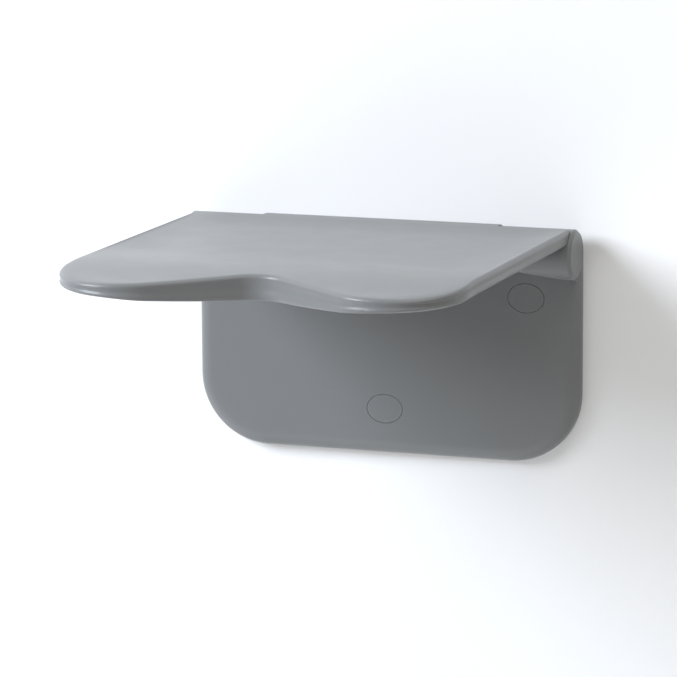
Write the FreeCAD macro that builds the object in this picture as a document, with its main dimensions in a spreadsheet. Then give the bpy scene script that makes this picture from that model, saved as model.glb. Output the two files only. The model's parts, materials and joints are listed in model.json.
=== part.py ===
import FreeCAD, Part

import math
import os

import Sketcher
from FreeCAD import Placement, Rotation, Vector

# Wall-mounted shower seat that folds up.
# Millimetres. X runs along the wall, Y runs into the wall and Z is up.
# The origin is midway between the two upper fixing holes, in the plane of the wall.

SIZES = [
    ("plate_half_width", 198.5, "wall plate, half of its width"),
    ("plate_bottom", 165.5, "bottom edge of the plate below the upper fixings"),
    ("plate_corner", 71.0, "radius of the plate's bottom corners"),
    ("plate_depth", 19.0, "front face of the plate from the wall"),
    ("plate_edge_round", 14.0, "rounding of the plate's front edge"),
    ("plate_skin", 4.0, "wall thickness of the plate moulding"),
    ("plate_rib", 3.0, "thickness of the ribs behind the plate"),
    ("plate_rib_pitch", 43.0, "spacing of the upright ribs"),
    ("plate_rib_step", 40.0, "spacing of the level ribs"),
    ("fixing_half_span", 146.0, "upper fixing holes, each side of the middle"),
    ("fixing_drop", 119.0, "lower fixing hole below the upper ones"),
    ("fixing_hole", 4.2, "radius of a fixing hole"),
    ("fixing_boss", 23.0, "radius of the boss around a fixing hole"),
    ("recess_half_width", 18.7, "oval screw recess, half of its width"),
    ("recess_half_height", 14.7, "oval screw recess, half of its height"),
    ("recess_floor", 10.0, "floor of the screw recess from the wall"),
    ("cover_gap", 0.4, "groove between a screw cover and its recess"),
    ("cover_skin", 2.5, "thickness of a screw cover"),
    ("cover_rim", 1.8, "thickness of a screw cover's rim"),
    ("cover_rise", 0.2, "gap between a screw cover's rim and the recess floor"),
    ("washer_radius", 11.0, "outer radius of a fixing washer"),
    ("washer_thickness", 2.0, "thickness of a fixing washer"),
    ("seal_radius", 9.5, "outer radius of a sealing ring behind the plate"),
    ("seal_thickness", 1.5, "thickness of a sealing ring"),
    ("axis_height", 47.0, "hinge axis above the upper fixings"),
    ("axis_stand_off", 27.0, "hinge axis from the wall"),
    ("hinge_half_width", 200.0, "hinge, half of its overall width"),
    ("barrel_radius", 24.5, "outer radius of the fixed hinge barrels"),
    ("barrel_inner_end", 124.5, "inner end of a fixed barrel from the middle"),
    ("barrel_bore", 8.02, "bore of a fixed barrel for its sleeve"),
    ("web_inset", 2.0, "barrel web from the side of the plate"),
    ("web_drop", 4.0, "barrel web below its barrel"),
    ("web_rear", 1.0, "barrel web from the wall"),
    ("knuckle_bay_drop", 12.0, "lower end of the open bay above the knuckle, below the hinge axis"),
    ("arch_radius", 944.0, "radius of the arch under the fixed barrels"),
    ("arch_crown", 41.5, "crown of that arch above the upper fixings"),
    ("cap_thickness", 4.0, "thickness of a hinge end cap"),
    ("cap_round", 3.0, "rounding of an end cap's rim"),
    ("cap_spigot", 12.0, "outer radius of an end cap's spigot"),
    ("cap_spigot_wall", 2.5, "wall of an end cap's spigot"),
    ("cap_spigot_length", 3.5, "length of an end cap's spigot"),
    ("cap_room", 6.0, "depth of the mouth of a barrel, for the spigot"),
    ("cap_play", 0.1, "play around an end cap's spigot"),
    ("cap_gap", 0.2, "gap between an end cap's rim and the side of the plate"),
    ("shaft_radius", 6.0, "radius of the hinge shaft"),
    ("shaft_half_length", 194.0, "hinge shaft, half of its length"),
    ("groove_depth", 0.6, "depth of a retaining groove in the shaft"),
    ("clip_radius", 8.5, "outer radius of a retaining ring"),
    ("clip_thickness", 1.2, "thickness of a retaining ring"),
    ("clip_offset", 0.2, "retaining ring from the end of its sleeve"),
    ("clip_play", 0.05, "play of a retaining ring in its groove"),
    ("clip_slot", 4.0, "opening in a retaining ring"),
    ("sleeve_radius", 8.0, "outer radius of a steel shaft sleeve"),
    ("sleeve_play", 0.02, "play between shaft and sleeve"),
    ("knuckle_radius", 26.0, "outer radius of the seat's knuckle"),
    ("knuckle_half_width", 121.5, "seat knuckle, half of its width"),
    ("knuckle_gap", 1.0, "gap around the knuckle"),
    ("barrel_gap", 1.5, "gap between the board and the fixed barrels"),
    ("neck_drop", 12.0, "neck of the knuckle below the board's lower edge"),
    ("neck_lap", 2.0, "how far the neck runs into the hollow under the board"),
    ("bush_radius", 8.5, "outer radius of a knuckle bush"),
    ("bush_length", 28.0, "length of a knuckle bush inside the knuckle"),
    ("bush_flange_radius", 15.0, "radius of a bush's flange"),
    ("bush_flange", 2.5, "thickness of a bush's flange"),
    ("bush_play", 0.05, "running clearance of a bush on the shaft"),
    ("seat_half_width", 195.5, "seat board, half of its width"),
    ("seat_rear", 34.0, "rear edge of the board from the wall"),
    ("seat_top", 72.5, "rim of the board above the upper fixings"),
    ("seat_edge", 58.0, "lower edge of the board's skirt"),
    ("seat_belly", 48.0, "lowest point of the skirt, at the middle"),
    ("seat_belly_half_width", 95.0, "half of the width of the deeper skirt"),
    ("seat_top_round", 3.0, "rounding of the board's rim"),
    ("seat_skin", 4.0, "thickness of the board's top"),
    ("seat_wall", 4.0, "thickness of the board's skirt"),
    ("seat_inner_rear", 60.0, "rear end of the hollow under the board"),
    ("seat_rib", 3.0, "thickness of the ribs under the board"),
    ("seat_rib_pitch", 43.0, "spacing of the ribs that run forward"),
    ("seat_rib_step", 40.0, "spacing of the ribs that run across"),
    ("lobe_y", 353.3, "centre of a front lobe from the wall"),
    ("lobe_radius", 67.2, "radius of a front lobe"),
    ("notch_radius", 38.0, "radius at the bottom of the front notch"),
    ("notch_angle", 32.3, "slope of the notch's flanks in degrees"),
    ("dish_depth", 4.0, "depth of the sitting hollow"),
    ("dish_radius", 160.0, "radius of the sitting hollow"),
    ("dish_y", 208.0, "centre of the sitting hollow from the wall"),
    ("heel_half_width", 90.0, "heel under the knuckle, half of its width"),
    ("heel_bottom", 5.0, "bottom of the heel above the upper fixings"),
    ("heel_rear", 23.0, "rear face of the heel from the wall"),
    ("heel_front", 46.0, "front foot of the heel from the wall"),
    ("heel_reach", 120.0, "front end of the heel's gusset from the wall"),
    ("heel_nose", 1.0, "front end of the gusset below the board's lower edge"),
    ("heel_lap", 0.5, "how far the heel runs into the board's top"),
    ("heel_shoulder", 15.0, "top of the heel's rear face below the hinge axis"),
    ("pad_thickness", 3.7, "thickness of a heel pad"),
    ("pad_width", 60.0, "width of a heel pad"),
    ("pad_height", 13.0, "height of a heel pad"),
    ("pad_x", 50.0, "centre of a heel pad from the middle"),
    ("pad_rise", 1.0, "heel pad above the foot of the heel"),
    ("pad_stem", 3.0, "radius of the stem that holds a heel pad"),
    ("pad_stem_length", 6.0, "length of a heel pad's stem"),
    ("underside_low", 59.3, "lower face of the underside panel"),
    ("underside_thickness", 2.5, "thickness of the underside panel"),
    ("underside_gap", 0.4, "gap around the underside panel"),
    ("bar_x", 81.0, "centre of a stiffening bar from the middle"),
    ("bar_width", 18.0, "width of a stiffening bar"),
    ("bar_thickness", 3.0, "thickness of a stiffening bar"),
    ("bar_rear", 64.0, "rear end of a stiffening bar from the wall"),
    ("bar_front", 375.0, "front end of a stiffening bar from the wall"),
    ("bar_gap", 0.2, "gap around a stiffening bar"),
    ("bar_low", 62.0, "lower face of a stiffening bar"),
    ("screw_radius", 1.9, "radius of an underside screw"),
    ("screw_length", 5.5, "length of an underside screw under its head"),
    ("screw_head", 3.8, "radius of an underside screw's head"),
    ("screw_head_height", 1.6, "height of an underside screw's head"),
    ("screw_boss", 4.5, "radius of a screw boss"),
    ("screw_hole", 2.3, "radius of a screw hole in the underside panel"),
    ("screw_socket", 1.5, "radius of the socket in an underside screw's head"),
    ("screw_socket_depth", 1.0, "depth of that socket"),
    ("past", 1.0, "how far a cutting tool runs past a face"),
    ("clear_cut", 500.0, "length of a cutting tool that runs right out of the part"),
]

# Underside screws: distance from the middle and distance from the wall, used on both sides.
SCREW_PLACES = [(172.0, 90.0), (172.0, 235.0), (168.0, 366.0), (43.0, 210.0), (43.0, 335.0)]
PLATE_UPRIGHTS = 9
PLATE_LEVELS = 4
BOARD_LONG_RIBS = 8
BOARD_CROSS_RIBS = 8
NEAR = 0.01  # a face or edge this close to a level lies on it

doc = FreeCAD.newDocument("FoldingSeat")
sheet = doc.addObject("Spreadsheet::Sheet", "Sizes")
for row, (alias, value, note) in enumerate(SIZES, start=1):
    sheet.set(f"A{row}", note)
    sheet.set(f"B{row}", str(value))
    sheet.setAlias(f"B{row}", alias)
doc.recompute()


def size(alias):
    """The number that a cell of the sheet holds."""
    return float(sheet.get(alias))


def bound(text):
    """An expression in which each alias of the sheet is written in full."""
    words = sorted((alias for alias, _, _ in SIZES), key=len, reverse=True)
    out, index = "", 0
    while index < len(text):
        starts = index == 0 or not (text[index - 1].isalnum() or text[index - 1] == "_")
        word = next((w for w in words if starts and text.startswith(w, index)), None)
        out += "Sizes." + word if word else text[index]
        index += len(word) if word else 1
    return out


def number(text):
    """The value of an expression of the sheet's sizes."""
    return float(sheet.evalExpression(bound(text)))


def bind(item, **links):
    """Bind an object's properties to expressions of the sheet's sizes."""
    for name, text in links.items():
        item.setExpression(name, bound(text))
    return item


def place(item, corner):
    """Bind an object's position to three expressions."""
    for name, text in zip("xyz", corner):
        item.setExpression(f"Placement.Base.{name}", bound(text))
    return item


def box(name, corner, lengths):
    item = doc.addObject("Part::Box", name)
    bind(item, Length=lengths[0], Width=lengths[1], Height=lengths[2])
    return place(item, corner)


def cylinder(name, radius, length, start, direction):
    """A cylinder that runs from start along +X, +Y or +Z."""
    item = doc.addObject("Part::Cylinder", name)
    turns = {"X": Rotation(Vector(0, 1, 0), 90), "Y": Rotation(Vector(1, 0, 0), -90)}
    item.Placement = Placement(Vector(), turns.get(direction, Rotation()))
    bind(item, Radius=radius, Height=length)
    return place(item, start)


def oval(name, half_width, half_height, low, high, centre_x, centre_z):
    """An oval block whose ends face along Y, from low to high."""
    rim = doc.addObject("Part::Ellipse", name + "Rim")
    rim.Placement = Placement(Vector(), Rotation(Vector(1, 0, 0), 90))
    bind(rim, MajorRadius=half_width, MinorRadius=half_height)
    place(rim, (centre_x, low, centre_z))
    item = doc.addObject("Part::Extrusion", name)
    item.Base = rim
    item.DirMode = "Custom"
    item.Dir = Vector(0, 1, 0)
    item.Solid = True
    return bind(item, LengthFwd=f"({high}) - ({low})")


def joined(name, pieces):
    item = doc.addObject("Part::MultiFuse", name)
    item.Shapes = pieces
    item.Refine = True
    return item


def less(name, base, tools):
    """Base with every tool cut away."""
    item = doc.addObject("Part::Cut", name)
    item.Base = base
    item.Tool = tools[0] if len(tools) == 1 else joined(name + "Tools", tools)
    item.Refine = True
    return item


def group(name, pieces):
    """Identical pieces kept as separate solids of one sub-part."""
    item = doc.addObject("Part::Compound", name)
    item.Links = pieces
    return item


def drawing_on(body, role, name):
    """A sketch on one of a body's own origin planes."""
    plane = next(item for item in body.Origin.OriginFeatures if item.Role == role)
    drawing = body.newObject("Sketcher::SketchObject", name)
    drawing.AttachmentSupport = [(plane, "")]
    drawing.MapMode = "FlatFace"
    return drawing


def rule(drawing, kind, *refs):
    return drawing.addConstraint(Sketcher.Constraint(kind, *refs))


def measured(drawing, name, kind, refs, now, text):
    """Add a named dimension that holds now and follows an expression of the sheet's sizes."""
    drawing.renameConstraint(rule(drawing, kind, *refs, now), name)
    drawing.setExpression(f"Constraints.{name}", bound(text))


def line(drawing, start, end):
    return drawing.addGeometry(Part.LineSegment(Vector(*start, 0), Vector(*end, 0)), False)


def arc(drawing, centre, radius, first, last):
    circle = Part.Circle(Vector(*centre, 0), Vector(0, 0, 1), radius)
    return drawing.addGeometry(Part.ArcOfCircle(circle, math.radians(first), math.radians(last)), False)


def draw_plate_outline(drawing, inset, top):
    """The plate seen from the front: straight sides, a level top and two round bottom corners."""
    half, low = size("plate_half_width") - inset, size("plate_bottom") - inset
    radius, high = size("plate_corner") - inset, size(top) - inset
    upper = line(drawing, (-half, high), (half, high))
    right = line(drawing, (half, high), (half, radius - low))
    right_corner = arc(drawing, (half - radius, radius - low), radius, 270, 360)
    bottom = line(drawing, (half - radius, -low), (radius - half, -low))
    left_corner = arc(drawing, (radius - half, radius - low), radius, 180, 270)
    left = line(drawing, (-half, radius - low), (-half, high))
    rule(drawing, "Coincident", upper, 2, right, 1)
    rule(drawing, "Tangent", right, 2, right_corner, 2)
    rule(drawing, "Tangent", right_corner, 1, bottom, 1)
    rule(drawing, "Tangent", bottom, 2, left_corner, 2)
    rule(drawing, "Tangent", left_corner, 1, left, 1)
    rule(drawing, "Coincident", left, 2, upper, 1)
    rule(drawing, "Horizontal", bottom)
    rule(drawing, "Equal", left_corner, right_corner)
    rule(drawing, "Symmetric", upper, 1, upper, 2, -2)
    width = f"2 * (plate_half_width - {inset})"
    measured(drawing, "width", "DistanceX", (upper, 1, upper, 2), 2 * half, width)
    measured(drawing, "top", "DistanceY", (-1, 1, upper, 1), high, f"{top} - {inset}")
    measured(drawing, "depth", "DistanceY", (bottom, 1, -1, 1), low, f"plate_bottom - {inset}")
    measured(drawing, "corner", "Radius", (right_corner,), radius, f"plate_corner - {inset}")


def plate_block(name, inset, depth, rounding):
    """A block of the plate's outline, thick from the wall to depth, with its front edge rounded."""
    body = doc.addObject("PartDesign::Body", name)
    drawing = drawing_on(body, "XZ_Plane", name + "Outline")
    draw_plate_outline(drawing, inset, "axis_height")
    doc.recompute()
    pad = body.newObject("PartDesign::Pad", name + "Pad")
    pad.Profile = drawing
    bind(pad, Length=depth)
    doc.recompute()
    front, high = pad.Shape.BoundBox.YMin, pad.Shape.BoundBox.ZMax
    rims = [
        f"Edge{count}"
        for count, edge in enumerate(pad.Shape.Edges, start=1)
        if edge.BoundBox.YMax < front + NEAR and edge.BoundBox.ZMin < high - NEAR
    ]
    fillet = body.newObject("PartDesign::Fillet", name + "Round")
    fillet.Base = (pad, rims)
    bind(fillet, Radius=rounding)
    body.Tip = fillet
    doc.recompute()
    return body


def draw_seat_outline(drawing, inset, rear):
    """The board seen from above: straight sides, two round front lobes and a notch between them."""
    half, back = size("seat_half_width") - inset, size(rear)
    radius, notch = size("lobe_radius") - inset, size("notch_radius") + inset
    lobe_x, lobe_y = half - radius, -size("lobe_y")
    slope = math.radians(size("notch_angle"))
    out = (math.sin(slope), math.cos(slope))
    flank_x, flank_y = lobe_x - radius * out[0], lobe_y - radius * out[1]
    notch_x = notch * out[0]
    notch_y = flank_y + (flank_x - notch_x) * math.tan(slope)
    turn = math.degrees(slope)
    upper = line(drawing, (-half, -back), (half, -back))
    right = line(drawing, (half, -back), (half, lobe_y))
    right_lobe = arc(drawing, (lobe_x, lobe_y), radius, 270 - turn, 360)
    right_flank = line(drawing, (flank_x, flank_y), (notch_x, notch_y))
    hollow = arc(drawing, (0, notch_y - notch * out[1]), notch, 90 - turn, 90 + turn)
    left_flank = line(drawing, (-notch_x, notch_y), (-flank_x, flank_y))
    left_lobe = arc(drawing, (-lobe_x, lobe_y), radius, 180, 270 + turn)
    left = line(drawing, (-half, lobe_y), (-half, -back))
    rule(drawing, "Coincident", upper, 2, right, 1)
    rule(drawing, "Tangent", right, 2, right_lobe, 2)
    rule(drawing, "Tangent", right_lobe, 1, right_flank, 1)
    rule(drawing, "Tangent", right_flank, 2, hollow, 1)
    rule(drawing, "Tangent", hollow, 2, left_flank, 1)
    rule(drawing, "Tangent", left_flank, 2, left_lobe, 2)
    rule(drawing, "Tangent", left_lobe, 1, left, 1)
    rule(drawing, "Coincident", left, 2, upper, 1)
    rule(drawing, "Vertical", right)
    rule(drawing, "Equal", left_lobe, right_lobe)
    rule(drawing, "Symmetric", upper, 1, upper, 2, -2)
    rule(drawing, "Symmetric", left_lobe, 3, right_lobe, 3, -2)
    rule(drawing, "PointOnObject", hollow, 3, -2)
    width = f"2 * (seat_half_width - {inset})"
    measured(drawing, "width", "DistanceX", (upper, 1, upper, 2), 2 * half, width)
    measured(drawing, "rear", "DistanceY", (upper, 1, -1, 1), back, rear)
    measured(drawing, "reach", "DistanceY", (right_lobe, 3, -1, 1), -lobe_y, "lobe_y")
    measured(drawing, "lobe", "Radius", (right_lobe,), radius, f"lobe_radius - {inset}")
    measured(drawing, "notch", "Radius", (hollow,), notch, f"notch_radius + {inset}")
    measured(drawing, "slope", "Angle", (right_flank,), math.pi - slope, "(180 - notch_angle) * 1 deg")


def seat_block(name, inset, rear, low, high, rounding=None):
    """A block of the board's outline from low to high, with its upper rim rounded if asked."""
    body = doc.addObject("PartDesign::Body", name)
    drawing = drawing_on(body, "XY_Plane", name + "Outline")
    drawing.setExpression("AttachmentOffset.Base.z", bound(low))
    draw_seat_outline(drawing, inset, rear)
    doc.recompute()
    pad = body.newObject("PartDesign::Pad", name + "Pad")
    pad.Profile = drawing
    bind(pad, Length=f"({high}) - ({low})")
    doc.recompute()
    body.Tip = pad
    if rounding:
        top, rear_y = pad.Shape.BoundBox.ZMax, pad.Shape.BoundBox.YMax
        rims = [
            f"Edge{count}"
            for count, edge in enumerate(pad.Shape.Edges, start=1)
            if edge.BoundBox.ZMin > top - NEAR and edge.BoundBox.YMin < rear_y - NEAR
        ]
        fillet = body.newObject("PartDesign::Fillet", name + "Round")
        fillet.Base = (pad, rims)
        bind(fillet, Radius=rounding)
        body.Tip = fillet
    doc.recompute()
    return body


def turned(name, profile):
    """A solid turned about the hinge axis from (distance along X, radius) expression pairs."""
    body = doc.addObject("PartDesign::Body", name)
    drawing = drawing_on(body, "XY_Plane", name + "Profile")
    corners = [tuple(number(text) for text in pair) for pair in profile]
    edges = [line(drawing, corners[i], corners[(i + 1) % len(corners)]) for i in range(len(corners))]
    for i, edge in enumerate(edges):
        rule(drawing, "Coincident", edge, 2, edges[(i + 1) % len(edges)], 1)
        along, radius = profile[i]
        measured(drawing, f"x{i}", "DistanceX", (-1, 1, edge, 1), corners[i][0], along)
        measured(drawing, f"r{i}", "DistanceY", (-1, 1, edge, 1), corners[i][1], radius)
    doc.recompute()
    spin = body.newObject("PartDesign::Revolution", name + "Turn")
    spin.Profile = drawing
    spin.ReferenceAxis = (drawing, ["H_Axis"])
    spin.Angle = 360
    body.Tip = spin
    place(body, ("0", "-axis_stand_off", "axis_height"))
    doc.recompute()
    return body


def fixing_places():
    """Name, X and Z expressions of the three fixings."""
    return [
        ("upper_left", "-fixing_half_span", "0"),
        ("upper_right", "fixing_half_span", "0"),
        ("lower", "0", "-fixing_drop"),
    ]


def make_wall_plate():
    """The moulding that is screwed to the wall, ribbed behind its face, with two hinge barrels."""
    shell = plate_block("PlateOuter", 0, "plate_depth", "plate_edge_round")
    skin = size("plate_skin")
    core = plate_block("PlateCore", skin, "plate_depth - plate_skin", "plate_edge_round - plate_skin")
    ribs = []
    upright = ("plate_rib", "plate_depth", "plate_bottom + axis_height")
    for count in range(PLATE_UPRIGHTS):
        middle = f"{count - PLATE_UPRIGHTS // 2} * plate_rib_pitch"
        corner = (f"{middle} - plate_rib / 2", "-plate_depth", "-plate_bottom")
        ribs.append(box(f"PlateUpright{count}", corner, upright))
    for count in range(PLATE_LEVELS):
        low = f"-fixing_drop + {count} * plate_rib_step - plate_rib / 2"
        lengths = ("2 * plate_half_width", "plate_depth", "plate_rib")
        ribs.append(box(f"PlateLevel{count}", ("-plate_half_width", "-plate_depth", low), lengths))
    for name, x, z in fixing_places():
        ribs.append(cylinder(f"PlateBoss_{name}", "fixing_boss", "plate_depth", (x, "-plate_depth", z), "Y"))
    inside = less("PlateHollow", core, ribs)
    panel = less("PlatePanel", shell, [inside])

    cap_seat = "hinge_half_width - cap_thickness"
    barrel_length = f"{cap_seat} - barrel_inner_end"
    barrels = []
    for side, start in (("Left", f"-({cap_seat})"), ("Right", "barrel_inner_end")):
        first = (start, "-axis_stand_off", "axis_height")
        barrels.append(cylinder(f"Barrel{side}", "barrel_radius", barrel_length, first, "X"))
    for side, start in (("Left", "-plate_half_width + web_inset"), ("Right", "barrel_inner_end")):
        corner = (start, "-axis_stand_off", "axis_height - barrel_radius - web_drop")
        lengths = (
            "plate_half_width - web_inset - barrel_inner_end",
            "axis_stand_off - web_rear",
            "barrel_radius + web_drop",
        )
        barrels.append(box(f"Web{side}", corner, lengths))
    body = joined("PlateWithBarrels", [panel] + barrels)

    below_barrels = ("0", "-plate_depth - clear_cut", "arch_crown - arch_radius")
    bay = ("-barrel_inner_end", "-axis_stand_off", "axis_height")
    bay_above = ("-barrel_inner_end", "-axis_stand_off - clear_cut", "axis_height - knuckle_bay_drop")
    bay_lengths = ("2 * barrel_inner_end", "axis_stand_off + clear_cut + past", "clear_cut")
    bore_start = ("-hinge_half_width", "-axis_stand_off", "axis_height")
    tools = [
        cylinder("Arch", "arch_radius", "clear_cut", below_barrels, "Y"),
        cylinder("KnuckleRoom", "knuckle_radius + knuckle_gap", "2 * barrel_inner_end", bay, "X"),
        box("BayAbove", bay_above, bay_lengths),
        cylinder("BarrelBore", "barrel_bore", "2 * hinge_half_width", bore_start, "X"),
    ]
    rooms = {
        "Spigot": ("cap_spigot + cap_play", f"{cap_seat} - cap_room", "clear_cut + cap_room"),
        "Rim": ("barrel_radius + cap_gap", cap_seat, "clear_cut"),
    }
    for kind, (radius, inner, length) in rooms.items():
        for side, start in (("Left", f"-({cap_seat}) - clear_cut"), ("Right", inner)):
            first = (start, "-axis_stand_off", "axis_height")
            tools.append(cylinder(f"{kind}Room{side}", radius, length, first, "X"))
    for name, x, z in fixing_places():
        front = "-plate_depth - past"
        across, high = "recess_half_width", "recess_half_height"
        recess = oval(f"Recess_{name}", across, high, front, "-recess_floor", x, z)
        hole = cylinder(f"Hole_{name}", "fixing_hole", "plate_depth + 2 * past", (x, front, z), "Y")
        seat_depth = "seal_thickness + past"
        seal_seat = cylinder(f"SealSeat_{name}", "seal_radius", seat_depth, (x, "-seal_thickness", z), "Y")
        tools += [recess, hole, seal_seat]
    return less("wall_plate", body, tools)


def make_screw_covers():
    covers = []
    for name, x, z in fixing_places():
        half_width, half_height = "recess_half_width - cover_gap", "recess_half_height - cover_gap"
        foot = "-recess_floor - cover_rise"
        outer = oval(f"CoverOuter_{name}", half_width, half_height, "-plate_depth", foot, x, z)
        hollow = oval(
            f"CoverHollow_{name}",
            f"{half_width} - cover_rim",
            f"{half_height} - cover_rim",
            "-plate_depth + cover_skin",
            "-recess_floor + past",
            x,
            z,
        )
        covers.append(less(f"{name}_screw_cover", outer, [hollow]))
    return covers


def make_rings(label, radius, low, thickness):
    """One ring around each fixing hole."""
    rings = []
    for name, x, z in fixing_places():
        disc = cylinder(f"{label}_disc_{name}", radius, thickness, (x, low, z), "Y")
        start = (x, f"{low} - past", z)
        hole = cylinder(f"{label}_hole_{name}", "fixing_hole", f"{thickness} + 2 * past", start, "Y")
        rings.append(less(f"{label}_{name}", disc, [hole]))
    return group(label, rings)


def make_hinge():
    """The fixed parts of the hinge: shaft, sleeves, retaining rings and end caps."""
    parts = []
    axis = ("-axis_stand_off", "axis_height")
    sleeve_end = "hinge_half_width - cap_thickness - cap_room"
    groove_at = f"{sleeve_end} + clip_offset"
    shaft_start = ("-shaft_half_length", *axis)
    core = cylinder("ShaftCore", "shaft_radius", "2 * shaft_half_length", shaft_start, "X")
    grooves, clips = [], []
    for side, start in (("left", f"-({groove_at}) - clip_thickness"), ("right", groove_at)):
        first = (start, *axis)
        outer = cylinder(f"GrooveOuter_{side}", "shaft_radius + past", "clip_thickness", first, "X")
        inner = cylinder(f"GrooveInner_{side}", "shaft_radius - groove_depth", "clip_thickness", first, "X")
        grooves.append(less(f"Groove_{side}", outer, [inner]))
        ring_start, ring_length = (f"{start} + clip_play", *axis), "clip_thickness - 2 * clip_play"
        ring = cylinder(f"ClipOuter_{side}", "clip_radius", ring_length, ring_start, "X")
        eye_radius = "shaft_radius - groove_depth + clip_play"
        eye = cylinder(f"ClipEye_{side}", eye_radius, "clip_thickness", first, "X")
        slot = box(
            f"ClipSlot_{side}",
            (f"{start} - past", "-axis_stand_off - clip_slot / 2", "axis_height - clip_radius - past"),
            ("clip_thickness + 2 * past", "clip_slot", "clip_radius + past"),
        )
        clips.append(less(f"Clip_{side}", ring, [eye, slot]))
    parts.append(less("hinge_shaft", core, grooves))
    parts.append(group("shaft_retaining_rings", clips))
    for side, sign in (("left", "-"), ("right", "")):
        ends = [f"{sign}barrel_inner_end", f"{sign}({sleeve_end})"]
        bore, outer = "shaft_radius + sleeve_play", "sleeve_radius"
        profile = [(ends[0], bore), (ends[1], bore), (ends[1], outer), (ends[0], outer)]
        sleeve = turned(f"ShaftSleeve_{side}", profile)
        sleeve.Label = f"{side}_shaft_sleeve"
        parts.append(sleeve)
        parts.append(make_end_cap(side, sign))
    return parts


def make_end_cap(side, sign):
    """A domed disc that closes a barrel, with a hollow spigot in the barrel's mouth."""
    faces = {
        "out": f"{sign}hinge_half_width",
        "rim": f"{sign}(hinge_half_width - cap_round)",
        "in": f"{sign}(hinge_half_width - cap_thickness)",
        "tip": f"{sign}(hinge_half_width - cap_thickness - cap_spigot_length)",
    }
    disc, spigot, hole = "barrel_radius", "cap_spigot", "cap_spigot - cap_spigot_wall"
    profile = [
        (faces["out"], "0"),
        (faces["out"], f"{disc} - cap_round"),
        (faces["rim"], disc),
        (faces["in"], disc),
        (faces["in"], spigot),
        (faces["tip"], spigot),
        (faces["tip"], hole),
        (faces["in"], hole),
        (faces["in"], "0"),
    ]
    cap = turned(f"EndCap_{side}", profile)
    cap.Label = f"{side}_hinge_end_cap"
    return cap


def make_seat_board():
    """The moulding that is sat on, with its skirt, ribs, hinge knuckle and heel."""
    outer = seat_block("BoardOuter", 0, "seat_rear", "seat_belly", "seat_top", "seat_top_round")
    wall, ceiling = size("seat_wall"), "seat_top - seat_skin"
    hollow = seat_block("BoardHollow", wall, "seat_inner_rear", "seat_belly - past", ceiling)
    ribs = []
    rib_height = f"seat_top - {rib_low()}"
    long_lengths = ("seat_rib", "lobe_y + lobe_radius - seat_inner_rear + 2 * past", rib_height)
    for count in range(BOARD_LONG_RIBS):
        middle = f"({count} - {(BOARD_LONG_RIBS - 1) / 2}) * seat_rib_pitch"
        corner = (f"{middle} - seat_rib / 2", "-lobe_y - lobe_radius - past", rib_low())
        ribs.append(box(f"BoardLong{count}", corner, long_lengths))
    for count in range(1, BOARD_CROSS_RIBS + 1):
        front = f"-seat_inner_rear - {count} * seat_rib_step - seat_rib / 2"
        lengths = ("2 * seat_half_width", "seat_rib", rib_height)
        ribs.append(box(f"BoardCross{count}", ("-seat_half_width", front, rib_low()), lengths))
    for side, count, x, y in screw_places():
        boss_height = f"{rib_height} - seat_skin / 2"
        ribs.append(cylinder(f"ScrewBoss{side}{count}", "screw_boss", boss_height, (x, y, rib_low()), "Z"))
    cavity = less("BoardCavity", hollow, ribs + [make_ball("CeilingBall", "seat_skin")])

    lip = make_lip_tool()
    barrels = []
    for side, start in (("Left", "-knuckle_half_width - clear_cut"), ("Right", "knuckle_half_width")):
        first = (start, "-axis_stand_off", "axis_height")
        barrels.append(cylinder(f"BarrelRoom{side}", "barrel_radius + barrel_gap", "clear_cut", first, "X"))
    shell = less("BoardShell", outer, [cavity, lip] + barrels)

    knuckle = cylinder(
        "Knuckle",
        "knuckle_radius",
        "2 * knuckle_half_width",
        ("-knuckle_half_width", "-axis_stand_off", "axis_height"),
        "X",
    )
    neck = box(
        "Neck",
        ("-knuckle_half_width", "-seat_inner_rear - neck_lap", "seat_edge - neck_drop"),
        (
            "2 * knuckle_half_width",
            "seat_inner_rear + neck_lap - axis_stand_off",
            "seat_top - seat_edge + neck_drop",
        ),
    )
    body = joined("BoardWithHeel", [shell, knuckle, neck, make_heel()])
    bore = cylinder(
        "KnuckleBore",
        "bush_radius",
        "2 * (knuckle_half_width + past)",
        ("-knuckle_half_width - past", "-axis_stand_off", "axis_height"),
        "X",
    )
    tools = [bore, make_ball("DishBall", "0")]
    for side, sign in (("Left", "-"), ("Right", "")):
        corner = (f"{sign}bar_x - bar_width / 2 - bar_gap", "-bar_front - bar_gap", "bar_low - bar_gap")
        bar = ("bar_width", "bar_front - bar_rear", "bar_thickness")
        lengths = [f"{length} + 2 * bar_gap" for length in bar]
        tools.append(box(f"BarRoom{side}", corner, lengths))
        tools.append(
            cylinder(
                f"StemRoom{side}",
                "pad_stem",
                "pad_stem_length",
                (f"{sign}pad_x", "-heel_rear - pad_stem_length", "heel_bottom + pad_rise + pad_height / 2"),
                "Y",
            )
        )
    for side, count, x, y in screw_places():
        start = (x, y, "underside_low")
        tools.append(cylinder(f"ScrewRoom{side}{count}", "screw_radius", "screw_length", start, "Z"))
    return less("seat_board", body, tools)


def rib_low():
    """Where the ribs under the board end, on the underside panel."""
    return "(underside_low + underside_thickness)"


def screw_places():
    """Side, number and position expressions of the underside screws."""
    out = []
    for side, sign in (("Left", -1), ("Right", 1)):
        for count, (x, y) in enumerate(SCREW_PLACES):
            out.append((side, count, str(sign * x), str(-y)))
    return out


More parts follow.
